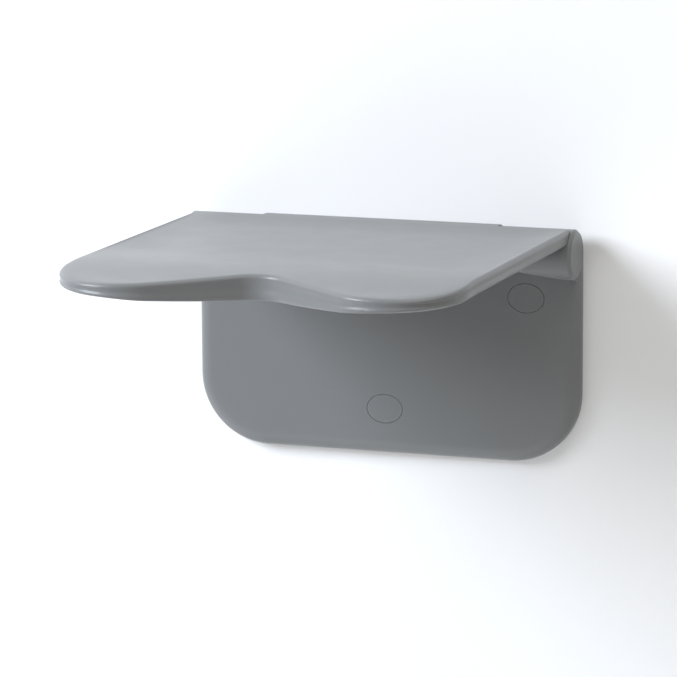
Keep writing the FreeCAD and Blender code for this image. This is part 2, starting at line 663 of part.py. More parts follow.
def make_lip_tool():
    """What lies below the skirt: level at the sides and bowed down at the middle."""
    half, edge, belly = size("seat_belly_half_width"), size("seat_edge"), size("seat_belly")
    side, low = half + size("clear_cut"), belly - size("clear_cut")
    bow = Part.Arc(Vector(-half, 0, edge), Vector(0, 0, belly), Vector(half, 0, edge)).toShape()
    corners = [(half, edge), (side, edge), (side, low), (-side, low), (-side, edge), (-half, edge)]
    points = [Vector(x, 0, z) for x, z in corners]
    wire = Part.Wire([bow, Part.makePolygon(points)])
    tool = doc.addObject("Part::Feature", "LipTool")
    tool.Shape = Part.Face(wire).extrude(Vector(0, -size("clear_cut"), 0))
    return tool


def make_ball(name, margin):
    """A large ball, a margin bigger than the one that presses the sitting hollow into the board's top."""
    ball = doc.addObject("Part::Sphere", name)
    radius = "(dish_radius * dish_radius / (2 * dish_depth))"
    bind(ball, Radius=f"{radius} + {margin}")
    return place(ball, ("0", "-dish_y", f"seat_top + {radius} - dish_depth"))


def make_heel():
    """The gusset under the knuckle whose rear face bears on the wall plate."""
    corners = [
        ("heel_rear", "heel_bottom"),
        ("heel_front", "heel_bottom"),
        ("heel_reach", "seat_edge - heel_nose"),
        ("heel_reach", "seat_top - seat_skin + heel_lap"),
        ("axis_stand_off", "axis_height"),
        ("heel_rear", "axis_height - heel_shoulder"),
    ]
    body = doc.addObject("PartDesign::Body", "Heel")
    drawing = drawing_on(body, "YZ_Plane", "HeelOutline")
    points = [(-number(y), number(z)) for y, z in corners]
    edges = [line(drawing, points[i], points[(i + 1) % len(points)]) for i in range(len(points))]
    for i, edge in enumerate(edges):
        rule(drawing, "Coincident", edge, 2, edges[(i + 1) % len(edges)], 1)
        measured(drawing, f"y{i}", "DistanceX", (edge, 1, -1, 1), -points[i][0], corners[i][0])
        measured(drawing, f"z{i}", "DistanceY", (-1, 1, edge, 1), points[i][1], corners[i][1])
    doc.recompute()
    pad = body.newObject("PartDesign::Pad", "HeelPad")
    pad.Profile = drawing
    pad.Midplane = True
    bind(pad, Length="2 * heel_half_width")
    body.Tip = pad
    doc.recompute()
    return body


def make_underside():
    """The panel that closes the board from below, cut back around the heel."""
    sheet_block = seat_block(
        "PanelBlock",
        size("seat_wall") + size("underside_gap"),
        "seat_inner_rear",
        "underside_low",
        "underside_low + underside_thickness",
    )
    below, through = "underside_low - past", "underside_thickness + 2 * past"
    tools = [
        box(
            "PanelNotch",
            ("-heel_half_width - underside_gap", "-heel_reach - underside_gap", below),
            ("2 * (heel_half_width + underside_gap)", "heel_reach", through),
        ),
        box(
            "PanelRear",
            ("-seat_half_width", "-seat_inner_rear - neck_lap - underside_gap", below),
            ("2 * seat_half_width", "seat_inner_rear", through),
        ),
    ]
    screws = []
    for side, count, x, y in screw_places():
        tools.append(cylinder(f"PanelHole{side}{count}", "screw_hole", through, (x, y, below), "Z"))
        head_low = (x, y, "underside_low - screw_head_height")
        head = cylinder(f"ScrewHead{side}{count}", "screw_head", "screw_head_height", head_low, "Z")
        shank_low = (x, y, "underside_low")
        shank = cylinder(f"ScrewShank{side}{count}", "screw_radius", "screw_length", shank_low, "Z")
        socket = cylinder(f"ScrewSocket{side}{count}", "screw_socket", "screw_socket_depth", head_low, "Z")
        screw = joined(f"ScrewBody{side}{count}", [head, shank])
        screws.append(less(f"Screw{side}{count}", screw, [socket]))
    return [less("seat_underside", sheet_block, tools), group("underside_screws", screws)]


def make_seat_hardware():
    """Bushes in the knuckle, heel pads and stiffening bars."""
    parts = []
    for side, sign in (("left", "-"), ("right", "")):
        inner = f"{sign}(knuckle_half_width - bush_length)"
        face, out = f"{sign}knuckle_half_width", f"{sign}(knuckle_half_width + bush_flange)"
        bore = "shaft_radius + bush_play"
        profile = [
            (inner, bore),
            (out, bore),
            (out, "bush_flange_radius"),
            (face, "bush_flange_radius"),
            (face, "bush_radius"),
            (inner, "bush_radius"),
        ]
        bush = turned(f"KnuckleBush_{side}", profile)
        bush.Label = f"{side}_knuckle_bush"
        parts.append(bush)
        pad_face = box(
            f"PadFace_{side}",
            (f"{sign}pad_x - pad_width / 2", "-heel_rear", "heel_bottom + pad_rise"),
            ("pad_width", "pad_thickness", "pad_height"),
        )
        stem = cylinder(
            f"PadStem_{side}",
            "pad_stem",
            "pad_stem_length",
            (f"{sign}pad_x", "-heel_rear - pad_stem_length", "heel_bottom + pad_rise + pad_height / 2"),
            "Y",
        )
        parts.append(joined(f"{side}_heel_pad", [pad_face, stem]))
        bar = box(
            f"{side}_stiffening_bar",
            (f"{sign}bar_x - bar_width / 2", "-bar_front", "bar_low"),
            ("bar_width", "bar_front - bar_rear", "bar_thickness"),
        )
        parts.append(bar)
    return parts


def write_parts(parts):
    """Check every object and every sub-part, then write one STEP file for each."""
    doc.recompute()
    for item in doc.Objects:
        if {"Invalid", "Error"} & set(item.State):
            raise RuntimeError(f"{item.Name} failed: {item.State}")
    os.makedirs("parts", exist_ok=True)
    for item in parts:
        shape = item.Shape
        if shape.isNull() or not shape.isValid() or not shape.Solids:
            raise RuntimeError(f"{item.Label} has no valid solid")
        print(f"{item.Label}: {len(shape.Solids)} solids, {shape.Volume / 1000:.2f} cm3")
    for item in parts:
        item.Shape.exportStep(f"parts/{item.Label}.step")


parts = [make_wall_plate()]
parts += make_screw_covers()
washer_low = "-recess_floor - washer_thickness"
parts.append(make_rings("fixing_washers", "washer_radius", washer_low, "washer_thickness"))
parts.append(make_rings("wall_sealing_rings", "seal_radius", "-seal_thickness", "seal_thickness"))
parts += make_hinge()
parts.append(make_seat_board())
parts += make_underside()
parts += make_seat_hardware()
write_parts(parts)
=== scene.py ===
import json
import math

import bmesh
import bpy
from mathutils import Matrix, Vector


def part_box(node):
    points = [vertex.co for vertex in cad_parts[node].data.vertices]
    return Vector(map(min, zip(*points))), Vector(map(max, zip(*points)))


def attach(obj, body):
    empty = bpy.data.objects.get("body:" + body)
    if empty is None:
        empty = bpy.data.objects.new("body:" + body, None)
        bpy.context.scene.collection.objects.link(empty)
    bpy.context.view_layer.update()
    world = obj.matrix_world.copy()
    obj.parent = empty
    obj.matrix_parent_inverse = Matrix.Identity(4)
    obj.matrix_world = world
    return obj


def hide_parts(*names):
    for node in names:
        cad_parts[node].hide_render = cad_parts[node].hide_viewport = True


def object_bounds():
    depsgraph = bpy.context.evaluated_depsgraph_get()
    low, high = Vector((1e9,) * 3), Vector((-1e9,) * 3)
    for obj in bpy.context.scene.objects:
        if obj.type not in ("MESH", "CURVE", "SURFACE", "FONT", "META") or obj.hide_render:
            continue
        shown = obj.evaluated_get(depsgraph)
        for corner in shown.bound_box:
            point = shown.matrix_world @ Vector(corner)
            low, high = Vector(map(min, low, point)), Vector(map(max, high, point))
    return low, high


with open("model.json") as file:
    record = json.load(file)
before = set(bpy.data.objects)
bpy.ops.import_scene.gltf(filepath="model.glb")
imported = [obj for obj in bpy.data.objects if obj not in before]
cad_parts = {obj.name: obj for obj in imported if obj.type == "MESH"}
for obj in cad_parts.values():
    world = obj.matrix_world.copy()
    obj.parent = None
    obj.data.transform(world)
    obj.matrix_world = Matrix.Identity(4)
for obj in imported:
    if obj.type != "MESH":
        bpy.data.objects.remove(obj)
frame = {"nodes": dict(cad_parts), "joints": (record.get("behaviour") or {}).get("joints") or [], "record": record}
CAD_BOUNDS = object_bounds()

bl_info = {
    "name": "Folding shower seat",
    "version": (1, 0, 0),
    "blender": (4, 5, 0),
    "location": "3D View > Sidebar > Shower seat",
    "description": "Builds the shells, finishes and studio of a wall-mounted shower seat that folds up",
    "category": "Object",
}

# Metres. X runs along the wall, Y into the wall and Z up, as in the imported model.
HINGE = Vector(frame["joints"][0]["pos_m"])
BOARD_LOW, BOARD_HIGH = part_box("seat_board")
PANEL_LOW, PANEL_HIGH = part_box("seat_underside")
MM = 0.001
NEAR = 0.001 * MM
MERGE = 0.01 * MM
CREASE = math.radians(35)
# The board's faces are cut into squares of this size, and its recess ends just above the panel.
GRID = 12 * MM
CEILING = PANEL_HIGH.z + 0.1 * MM
# Most of a noise lies between these two values.
NOISE_SPAN = (0.3, 0.7)
STAGE_SIZE = 14.0
WALL_MIDDLE = 5.6
FLOOR_LEVEL = -1.1


class BoardSettings(bpy.types.PropertyGroup):
    """Sizes of the board that is sat on."""

    rim_drop: bpy.props.FloatProperty(
        name="Rim drop",
        description="Rim of the board below the crown of its knuckle",
        default=0.5 * MM,
        unit="LENGTH",
    )
    skirt: bpy.props.FloatProperty(
        name="Skirt",
        description="Height of the skirt at the sides",
        default=14.5 * MM,
        unit="LENGTH",
    )
    belly: bpy.props.FloatProperty(
        name="Belly",
        description="Height of the skirt at the middle",
        default=24.5 * MM,
        unit="LENGTH",
    )
    belly_half_width: bpy.props.FloatProperty(
        name="Belly half width",
        description="Half of the width of the deeper skirt",
        default=140 * MM,
        unit="LENGTH",
    )
    lobe_radius: bpy.props.FloatProperty(
        name="Lobe radius",
        description="Radius of the two front lobes",
        default=67.2 * MM,
        unit="LENGTH",
    )
    notch_radius: bpy.props.FloatProperty(
        name="Notch radius",
        description="Radius at the bottom of the notch",
        default=38 * MM,
        unit="LENGTH",
    )
    flank_slope: bpy.props.FloatProperty(
        name="Flank slope",
        description="Slope of the notch's flanks",
        default=math.radians(32.3),
        subtype="ANGLE",
    )
    rear: bpy.props.FloatProperty(
        name="Rear edge",
        description="Rear edge of the board from the hinge axis",
        default=7 * MM,
        unit="LENGTH",
    )
    rim_round: bpy.props.FloatProperty(
        name="Rim rounding",
        description="Rounding of the upper rim",
        default=4 * MM,
        unit="LENGTH",
    )
    lip_round: bpy.props.FloatProperty(
        name="Lip rounding",
        description="Rounding of the lower lip",
        default=2.8 * MM,
        unit="LENGTH",
    )
    cove: bpy.props.FloatProperty(
        name="Cove",
        description="Depth of the cove between rim and lip",
        default=1.1 * MM,
        unit="LENGTH",
    )
    wall: bpy.props.FloatProperty(
        name="Wall",
        description="Thickness of the skirt",
        default=4 * MM,
        unit="LENGTH",
    )
    hollow: bpy.props.FloatProperty(
        name="Hollow",
        description="Depth of the sitting hollow",
        default=4 * MM,
        unit="LENGTH",
    )
    border: bpy.props.FloatProperty(
        name="Border",
        description="Width of the slope around the hollow",
        default=48 * MM,
        unit="LENGTH",
    )
    droop: bpy.props.FloatProperty(
        name="Droop",
        description="How far the tips of the front lobes hang down",
        default=5.7 * MM,
        unit="LENGTH",
    )
    droop_length: bpy.props.FloatProperty(
        name="Droop length",
        description="Length of the front that droops",
        default=93 * MM,
        unit="LENGTH",
    )
    corner_drop: bpy.props.FloatProperty(
        name="Corner drop",
        description="How far the rim falls at the outer front corners",
        default=1.5 * MM,
        unit="LENGTH",
    )
    corner_width: bpy.props.FloatProperty(
        name="Corner width",
        description="Width of the soft edge at those corners",
        default=14 * MM,
        unit="LENGTH",
    )
    corner_lift: bpy.props.FloatProperty(
        name="Corner lift",
        description="How far the lip rises at those corners",
        default=3 * MM,
        unit="LENGTH",
    )
    knuckle_half_width: bpy.props.FloatProperty(
        name="Knuckle half width",
        description="Half of the width of the knuckle",
        default=121.5 * MM,
        unit="LENGTH",
    )


class HeelSettings(bpy.types.PropertyGroup):
    """Sizes of the wedge that holds the board level."""

    half_width: bpy.props.FloatProperty(
        name="Half width",
        description="Half of the width of the heel",
        default=90 * MM,
        unit="LENGTH",
    )
    reach: bpy.props.FloatProperty(
        name="Reach",
        description="Front end of the heel from the hinge axis",
        default=93 * MM,
        unit="LENGTH",
    )
    foot: bpy.props.FloatProperty(
        name="Foot",
        description="Front end of the heel's foot from the hinge axis",
        default=19 * MM,
        unit="LENGTH",
    )
    edge_round: bpy.props.FloatProperty(
        name="Edge rounding",
        description="Rounding of the heel's edges",
        default=2 * MM,
        unit="LENGTH",
    )


class FinishSettings(bpy.types.PropertyGroup):
    """Colours of the mouldings and of the metal."""

    grey: bpy.props.FloatVectorProperty(
        name="Grey plastic",
        description="Colour of the mouldings",
        default=(0.172, 0.177, 0.178),
        subtype="COLOR",
    )
    steel: bpy.props.FloatVectorProperty(
        name="Steel",
        description="Colour of the metal parts",
        default=(0.56, 0.56, 0.57),
        subtype="COLOR",
    )
    rubber: bpy.props.FloatVectorProperty(
        name="Rubber",
        description="Colour of pads and seals",
        default=(0.022, 0.022, 0.024),
        subtype="COLOR",
    )
    bush: bpy.props.FloatVectorProperty(
        name="Bush plastic",
        description="Colour of the hinge bushes",
        default=(0.68, 0.66, 0.6),
        subtype="COLOR",
    )


class StudioSettings(bpy.types.PropertyGroup):
    """Where the camera stands and how bright the studio is."""

    azimuth: bpy.props.FloatProperty(
        name="Azimuth",
        description="Camera to the right of straight on",
        default=math.radians(19.7),
        subtype="ANGLE",
    )
    elevation: bpy.props.FloatProperty(
        name="Elevation",
        description="Camera above the horizon",
        default=math.radians(10.63),
        subtype="ANGLE",
    )
    roll: bpy.props.FloatProperty(
        name="Roll",
        description="Turn of the camera about its view",
        default=math.radians(-0.33),
        subtype="ANGLE",
    )
    distance: bpy.props.FloatProperty(
        name="Distance",
        description="Camera to the middle of the seat",
        default=3.9,
        unit="LENGTH",
    )
    lens: bpy.props.FloatProperty(
        name="Lens",
        description="Focal length in millimetres",
        default=210.4,
    )
    key: bpy.props.FloatProperty(
        name="Key light",
        description="Power of the large soft light in watts",
        default=132.0,
    )
    fill: bpy.props.FloatProperty(
        name="Fill light",
        description="Power of the overhead light in watts",
        default=26.0,
    )
    rear: bpy.props.FloatProperty(
        name="Rear light",
        description="Power of the light behind the wall in watts",
        default=70.0,
    )
    ambient: bpy.props.FloatProperty(
        name="Ambient",
        description="Strength of the light all round",
        default=0.40,
    )


# ---------------------------------------------------------------- mesh helpers


def finished(bm, name, body, material):
    """Make an object of a mesh that is already in place, with creases only at its sharp edges."""
    bm.normal_update()
    for face in bm.faces:
        face.smooth = True
    for edge in bm.edges:
        edge.smooth = edge.is_manifold and edge.calc_face_angle(0.0) < CREASE
    mesh = bpy.data.meshes.new(name)
    bm.to_mesh(mesh)
    bm.free()
    mesh.materials.append(material)
    piece = bpy.data.objects.new(name, mesh)
    bpy.context.scene.collection.objects.link(piece)
    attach(piece, body)
    return piece


def rounded(bm, edges, offset, segments):
    """Round a set of edges."""
    bmesh.ops.bevel(
        bm,
        geom=edges,
        offset=offset,
        offset_type="OFFSET",
        affect="EDGES",
        segments=segments,
        profile=0.5,
        material=-1,
        clamp_overlap=False,
    )


def cut(bm, point, normal):
    """Cut every face that a plane crosses."""
    geometry = bm.verts[:] + bm.edges[:] + bm.faces[:]
    bmesh.ops.bisect_plane(bm, geom=geometry, dist=NEAR / 10, plane_co=point, plane_no=normal)


def raised(bm, face, height, keep):
    """Extrude a level face straight up or down, and keep or drop the face that it leaves behind."""
    made = bmesh.ops.extrude_face_region(bm, geom=[face, *face.edges], use_keep_orig=keep)
    verts = [item for item in made["geom"] if isinstance(item, bmesh.types.BMVert)]
    bmesh.ops.translate(bm, verts=verts, vec=(0, 0, height))


def widened(bm, face, width):
    """Make a closed block of an upright face by extruding it along the wall."""
    made = bmesh.ops.extrude_face_region(bm, geom=[face], use_keep_orig=True)
    verts = [item for item in made["geom"] if isinstance(item, bmesh.types.BMVert)]
    bmesh.ops.translate(bm, verts=verts, vec=(width, 0, 0))
    bmesh.ops.recalc_face_normals(bm, faces=bm.faces[:])


def extended(bm, vert, target):
    """Draw a line from a vertex to a point and return its new end."""
    made = bmesh.ops.extrude_vert_indiv(bm, verts=[vert])
    made["verts"][0].co = target
    return made["verts"][0]


def swept(bm, vert, centre, axis, angle, steps):
    """Draw an arc from a vertex and return its new end."""
    made = bmesh.ops.spin(bm, geom=[vert], cent=centre, axis=axis, angle=angle, steps=steps)
    return next(item for item in made["geom_last"] if isinstance(item, bmesh.types.BMVert))


def eased(share):
    """A step from 0 to 1 that leaves its start at once and ends level."""
    share = min(max(share, 0.0), 1.0)
    return 1.5 * share - 0.5 * share**3


def faded(share):
    """A smooth step from 0 to 1."""
    share = min(max(share, 0.0), 1.0)
    return share * share * (3 - 2 * share)


# ---------------------------------------------------------------- the board


def draw_board_outline(bm, board, level):
    """The board seen from above, as one level face: two round lobes with a notch between them."""
    half, front, rear = BOARD_HIGH.x, BOARD_LOW.y, HINGE.y - board.rear
    sine, cosine = math.sin(board.flank_slope), math.cos(board.flank_slope)
    lobe = Vector((half - board.lobe_radius, front + board.lobe_radius, level))
    flank_start = lobe - board.lobe_radius * Vector((sine, cosine, 0))
    notch_x = board.notch_radius * sine
    notch_y = flank_start.y + (flank_start.x - notch_x) * math.tan(board.flank_slope)
    notch = Vector((0, notch_y - board.notch_radius * cosine, level))
    end = bm.verts.new(notch + Vector((0, board.notch_radius, 0)))
    end = swept(bm, end, notch, (0, 0, -1), board.flank_slope, 9)
    end = extended(bm, end, flank_start)
    end = swept(bm, end, lobe, (0, 0, 1), math.radians(90) + board.flank_slope, 26)
    end = extended(bm, end, Vector((half, rear, level)))
    extended(bm, end, Vector((0, rear, level)))
    bmesh.ops.mirror(bm, geom=bm.verts[:] + bm.edges[:], matrix=Matrix.Identity(4), merge_dist=MERGE, axis="X")
    bmesh.ops.remove_doubles(bm, verts=bm.verts[:], dist=MERGE)
    made = bmesh.ops.contextual_create(bm, geom=bm.edges[:])
    return made["faces"][0]


def rim_edges(bm, level, rear):
    """Edges of the outline at one level, without the straight rear edge."""
    return [
        edge
        for edge in bm.edges
        if all(abs(vert.co.z - level) < NEAR for vert in edge.verts)
        and not all(vert.co.y > rear - NEAR for vert in edge.verts)
    ]


def skirt_depth(board, x):
    """Height of the skirt at a distance from the middle: it bows down between the lobes."""
    return board.skirt + (board.belly - board.skirt) * faded(1 - abs(x) / board.belly_half_width)


def hollow_depth(board, x, y):
    """Depth of the sitting hollow: it slopes down from the sides and the rear and fades out at the front."""
    side = eased((BOARD_HIGH.x - abs(x)) / board.border)
    rear = eased((HINGE.y - board.rear - y) / board.border)
    front = faded((y - BOARD_LOW.y - 2 * board.border) / (2 * board.border))
    return board.hollow * side * rear * front


def build_board(board, material):
    """The board's shell: rounded rim, coved skirt with a bead along its lower lip, and a recess below."""
    top = BOARD_HIGH.z - board.rim_drop
    low, rear = top - board.skirt, HINGE.y - board.rear
    bm = bmesh.new()
    raised(bm, draw_board_outline(bm, board, low), board.skirt, True)
    bmesh.ops.recalc_face_normals(bm, faces=bm.faces[:])
    rounded(bm, rim_edges(bm, top, rear), board.rim_round, 6)
    crown = max(bm.faces, key=lambda face: face.calc_center_median().z)
    rings, ring_width = 3, 5 * MM
    for _ in range(rings):
        bmesh.ops.inset_region(bm, faces=[crown], thickness=ring_width, use_even_offset=True)
    rounded(bm, rim_edges(bm, low, rear), board.lip_round, 4)

    cove_low, cove_high = low + board.lip_round, top - board.rim_round
    levels = 5
    for count in range(1, levels):
        cut(bm, (0, 0, cove_low + (cove_high - cove_low) * count / levels), (0, 0, 1))
    bm.normal_update()
    moves = []
    for vert in bm.verts:
        share = (vert.co.z - cove_low) / (cove_high - cove_low)
        if 0 < share < 1 and vert.co.y < rear - NEAR:
            moves.append((vert, -vert.normal * board.cove * math.sin(math.pi * share)))
    for vert, move in moves:
        vert.co += move

    bottom = min(bm.faces, key=lambda face: face.calc_center_median().z + (0 if face.normal.z < -0.9 else 1))
    bmesh.ops.inset_region(bm, faces=[bottom], thickness=board.wall - board.lip_round, use_even_offset=True)
    inner_rear = PANEL_HIGH.y + 2 * MM
    for vert in bottom.verts:
        vert.co.y = min(vert.co.y, inner_rear)
    raised(bm, bottom, CEILING - low, False)
    bmesh.ops.recalc_face_normals(bm, faces=bm.faces[:])

    knuckle, step_width = board.knuckle_half_width, 0.6 * MM
    half_count = int(BOARD_HIGH.x / GRID)
    columns = [count * GRID for count in range(-half_count, half_count + 1)]
    columns += [-knuckle - step_width, -knuckle, knuckle, knuckle + step_width]
    for x in columns:
        cut(bm, (x, 0, 0), (1, 0, 0))
    y = rear - GRID / 3
    while y > BOARD_LOW.y + board.rim_round:
        cut(bm, (0, y, 0), (0, 1, 0))
        y -= GRID
    for vert in bm.verts:
        if abs(vert.co.z - CEILING) > NEAR:
            shape_board_vertex(vert, board, top, cove_high, rear)
            droop_board_vertex(vert, board)
    shell = finished(bm, "board_shell", "seat", material)
    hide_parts("seat_board")


def shape_board_vertex(vert, board, top, cove_high, rear):
    """Press the hollow, bow the skirt and shape the rear end around the hinge."""
    x, y, z = vert.co
    if z > top - NEAR:
        vert.co.z -= hollow_depth(board, x, y)
    elif z < cove_high - NEAR:
        stretch = (cove_high - top + skirt_depth(board, x)) / (cove_high - top + board.skirt)
        vert.co.z = cove_high - (cove_high - z) * stretch
    if y > rear - NEAR:
        radius, tuck, lap = BOARD_HIGH.z - HINGE.z, 2.5 * MM, 0.1 * MM
        if abs(x) < board.knuckle_half_width + NEAR:
            vert.co.y = HINGE.y - tuck
            vert.co.z = min(vert.co.z, HINGE.z + radius) if z < top - NEAR else HINGE.z + radius - lap
        else:
            drop = max(min(vert.co.z - HINGE.z, radius), 0)
            vert.co.y = min(rear, HINGE.y - math.sqrt(max(radius * radius - drop * drop, 0)))


def droop_board_vertex(vert, board):
    """Let the front lobes hang down a little, with a softer edge at the two outer corners."""
    front = BOARD_LOW.y
    down = board.droop * faded((front + board.droop_length - vert.co.y) / board.droop_length)
    arm = Vector((abs(vert.co.x) - BOARD_HIGH.x + board.lobe_radius, vert.co.y - front - board.lobe_radius))
    if arm.length > NEAR:
        corner_heading, corner_spread = math.radians(50), math.radians(75)
        outward = faded(1 - abs(math.atan2(-arm.y, arm.x) - corner_heading) / corner_spread)
        edge = max(0, 1 - (board.lobe_radius - arm.length) / board.corner_width)
        height = (vert.co.z - BOARD_HIGH.z + board.rim_drop + board.skirt) / board.skirt
        down += (board.corner_drop * height - board.corner_lift * (1 - height)) * outward * edge**2
    vert.co.z -= down


def build_knuckle(board, material):
    """The hinge knuckle and its neck, turned about the hinge axis."""
    radius, x, lean = BOARD_HIGH.z - HINGE.z, -board.knuckle_half_width, math.radians(5)
    neck_front, neck_low = PANEL_HIGH.y, HINGE.z - 1.5 * MM
    sweep = math.radians(360) - math.acos((neck_low - HINGE.z) / radius) + lean
    bm = bmesh.new()
    first = bm.verts.new((x, HINGE.y - radius * math.sin(lean), HINGE.z + radius * math.cos(lean)))
    end = swept(bm, first, HINGE, (-1, 0, 0), sweep, 44)
    end = extended(bm, end, Vector((x, neck_front, neck_low)))
    end = extended(bm, end, Vector((x, neck_front, HINGE.z + radius / 2)))
    end = extended(bm, end, Vector((x, HINGE.y - radius / 2, HINGE.z + radius * 0.8)))
    bm.edges.new((end, first))
    face = bmesh.ops.contextual_create(bm, geom=bm.edges[:])["faces"][0]
    widened(bm, face, 2 * board.knuckle_half_width)
    ends = [edge for edge in bm.edges if abs(edge.verts[0].co.x - edge.verts[1].co.x) < NEAR]
    rounded(bm, ends, 0.8 * MM, 3)
    finished(bm, "board_knuckle", "seat", material)


def build_heel(heel, board, material):
    """The wedge under the knuckle that bears on the wall plate."""
    low, rim = BOARD_LOW.z, BOARD_HIGH.z - board.rim_drop
    rear, front = HINGE.y + 4 * MM, HINGE.y - heel.reach
    rear_high, front_low, front_high = HINGE.z - 15 * MM, rim - 16 * MM, rim - 6 * MM
    corners = [
        (rear, low),
        (HINGE.y - heel.foot, low),
        (front, front_low),
        (front, front_high),
        (HINGE.y, HINGE.z),
        (rear, rear_high),
    ]
    bm = bmesh.new()
    face = bm.faces.new([bm.verts.new((-heel.half_width, y, z)) for y, z in corners])
    widened(bm, face, 2 * heel.half_width)
    rounded(bm, bm.edges[:], heel.edge_round, 3)
    finished(bm, "board_heel", "seat", material)


# ---------------------------------------------------------------- finishes


def new_material(name):
    """An empty node material with its shader and its Object coordinates."""
    material = bpy.data.materials.new(name)
    material.use_nodes = True
    tree = material.node_tree
    tree.nodes.clear()
    output = tree.nodes.new("ShaderNodeOutputMaterial")
    shader = tree.nodes.new("ShaderNodeBsdfPrincipled")
    tree.links.new(shader.outputs["BSDF"], output.inputs["Surface"])
    place = tree.nodes.new("ShaderNodeTexCoord")
    return material, tree, shader, place.outputs["Object"]


def noise(tree, place, scale, detail=2.0):
    """A noise of so many grains to the metre."""
    item = tree.nodes.new("ShaderNodeTexNoise")
    item.inputs["Scale"].default_value = scale
    item.inputs["Detail"].default_value = detail
    tree.links.new(place, item.inputs["Vector"])
    return item.outputs["Fac"]


def ranged(tree, value, low, high):
    """Map a noise to a range."""
    item = tree.nodes.new("ShaderNodeMapRange")
    item.inputs["From Min"].default_value, item.inputs["From Max"].default_value = NOISE_SPAN
    item.inputs["To Min"].default_value = low
    item.inputs["To Max"].default_value = high
    tree.links.new(value, item.inputs["Value"])
    return item.outputs["Result"]


def mottled(tree, value, colour, change):
    """A colour that drifts a little lighter and darker with a noise."""
    ramp = tree.nodes.new("ShaderNodeValToRGB")
    for element, position, factor in zip(ramp.color_ramp.elements, NOISE_SPAN, (1 - change, 1 + change)):
        element.position = position
        element.color = [part * factor for part in colour] + [1.0]
    tree.links.new(value, ramp.inputs["Fac"])
    return ramp.outputs["Color"]


def bumped(tree, shader, value, height, strength):
    """Give a shader a bump of a real height in metres."""
    item = tree.nodes.new("ShaderNodeBump")
    item.inputs["Distance"].default_value = height
    item.inputs["Strength"].default_value = strength
    tree.links.new(value, item.inputs["Height"])
    tree.links.new(item.outputs["Normal"], shader.inputs["Normal"])


def make_grey_plastic(finish):
    """Satin moulded plastic: a fine spark-eroded grain and a faint drift of tone and gloss."""
    material, tree, shader, place = new_material("satin_grey_plastic")
    tone = mottled(tree, noise(tree, place, 9.0), finish.grey, 0.012)
    tree.links.new(tone, shader.inputs["Base Color"])
    tree.links.new(ranged(tree, noise(tree, place, 30.0, 3.0), 0.30, 0.33), shader.inputs["Roughness"])
    bumped(tree, shader, noise(tree, place, 1600.0), 0.03 * MM, 0.35)
    shader.inputs["Specular IOR Level"].default_value = 0.32
    return material


def make_steel(finish):
    """Turned and brushed stainless steel, with its scratches round the hinge axis."""
    material, tree, shader, place = new_material("brushed_stainless")
    stretch = tree.nodes.new("ShaderNodeMapping")
    stretch.inputs["Scale"].default_value = (1.0, 0.06, 0.06)
    tree.links.new(place, stretch.inputs["Vector"])
    lines = noise(tree, stretch.outputs["Vector"], 2600.0, 3.0)
    tree.links.new(mottled(tree, lines, finish.steel, 0.08), shader.inputs["Base Color"])
    tree.links.new(ranged(tree, lines, 0.24, 0.42), shader.inputs["Roughness"])
    bumped(tree, shader, lines, 0.01 * MM, 0.3)
    shader.inputs["Metallic"].default_value = 1.0
    return material


def make_rubber(finish):
    """Black moulded rubber with a dusty, slightly uneven surface."""
    material, tree, shader, place = new_material("matt_black_rubber")
    dust = mottled(tree, noise(tree, place, 90.0, 4.0), finish.rubber, 0.2)
    tree.links.new(dust, shader.inputs["Base Color"])
    tree.links.new(ranged(tree, noise(tree, place, 400.0), 0.68, 0.85), shader.inputs["Roughness"])
    bumped(tree, shader, noise(tree, place, 1200.0), 0.05 * MM, 0.4)
    return material


def make_bush_plastic(finish):
    """Natural white bearing plastic, a little translucent."""
    material, tree, shader, place = new_material("natural_bush_plastic")
    tone = mottled(tree, noise(tree, place, 60.0, 3.0), finish.bush, 0.05)
    tree.links.new(tone, shader.inputs["Base Color"])
    tree.links.new(ranged(tree, noise(tree, place, 300.0), 0.3, 0.42), shader.inputs["Roughness"])
    bumped(tree, shader, noise(tree, place, 900.0), 0.02 * MM, 0.25)
    shader.inputs["Subsurface Weight"].default_value = 0.08
    shader.inputs["Subsurface Scale"].default_value = 2 * MM
    return material


MAKERS = {
    "grey_plastic": ("satin_grey_plastic", make_grey_plastic),
    "stainless_steel": ("brushed_stainless", make_steel),
    "black_rubber": ("matt_black_rubber", make_rubber),
    "bush_plastic": ("natural_bush_plastic", make_bush_plastic),
}


def finish_of(slot):
    """The material of a record slot, made the first time it is asked for."""
    name, make = MAKERS[slot]
    return bpy.data.materials.get(name) or make(bpy.context.scene.seat_finish)


# ---------------------------------------------------------------- studio


def stage_plane(name, material, turn, place):
    """A large square of the studio, which shows from its front only."""
    one_sided(material)
    bm = bmesh.new()
    bmesh.ops.create_grid(bm, x_segments=1, y_segments=1, size=STAGE_SIZE / 2)
    bmesh.ops.rotate(bm, verts=bm.verts[:], cent=(0, 0, 0), matrix=Matrix.Rotation(turn, 3, "X"))
    bmesh.ops.translate(bm, verts=bm.verts[:], vec=place)
    mesh = bpy.data.meshes.new(name)
    bm.to_mesh(mesh)
    bm.free()
    mesh.materials.append(material)
    plane = bpy.data.objects.new(name, mesh)
    bpy.context.scene.collection.objects.link(plane)
    return plane


def pale_material(name, colour):
    """Plain matt paint."""
    material, tree, shader, place = new_material(name)
    tree.links.new(mottled(tree, noise(tree, place, 3.0), colour, 0.01), shader.inputs["Base Color"])
    shader.inputs["Roughness"].default_value = 0.9
    shader.inputs["Specular IOR Level"].default_value = 0.1
    return material


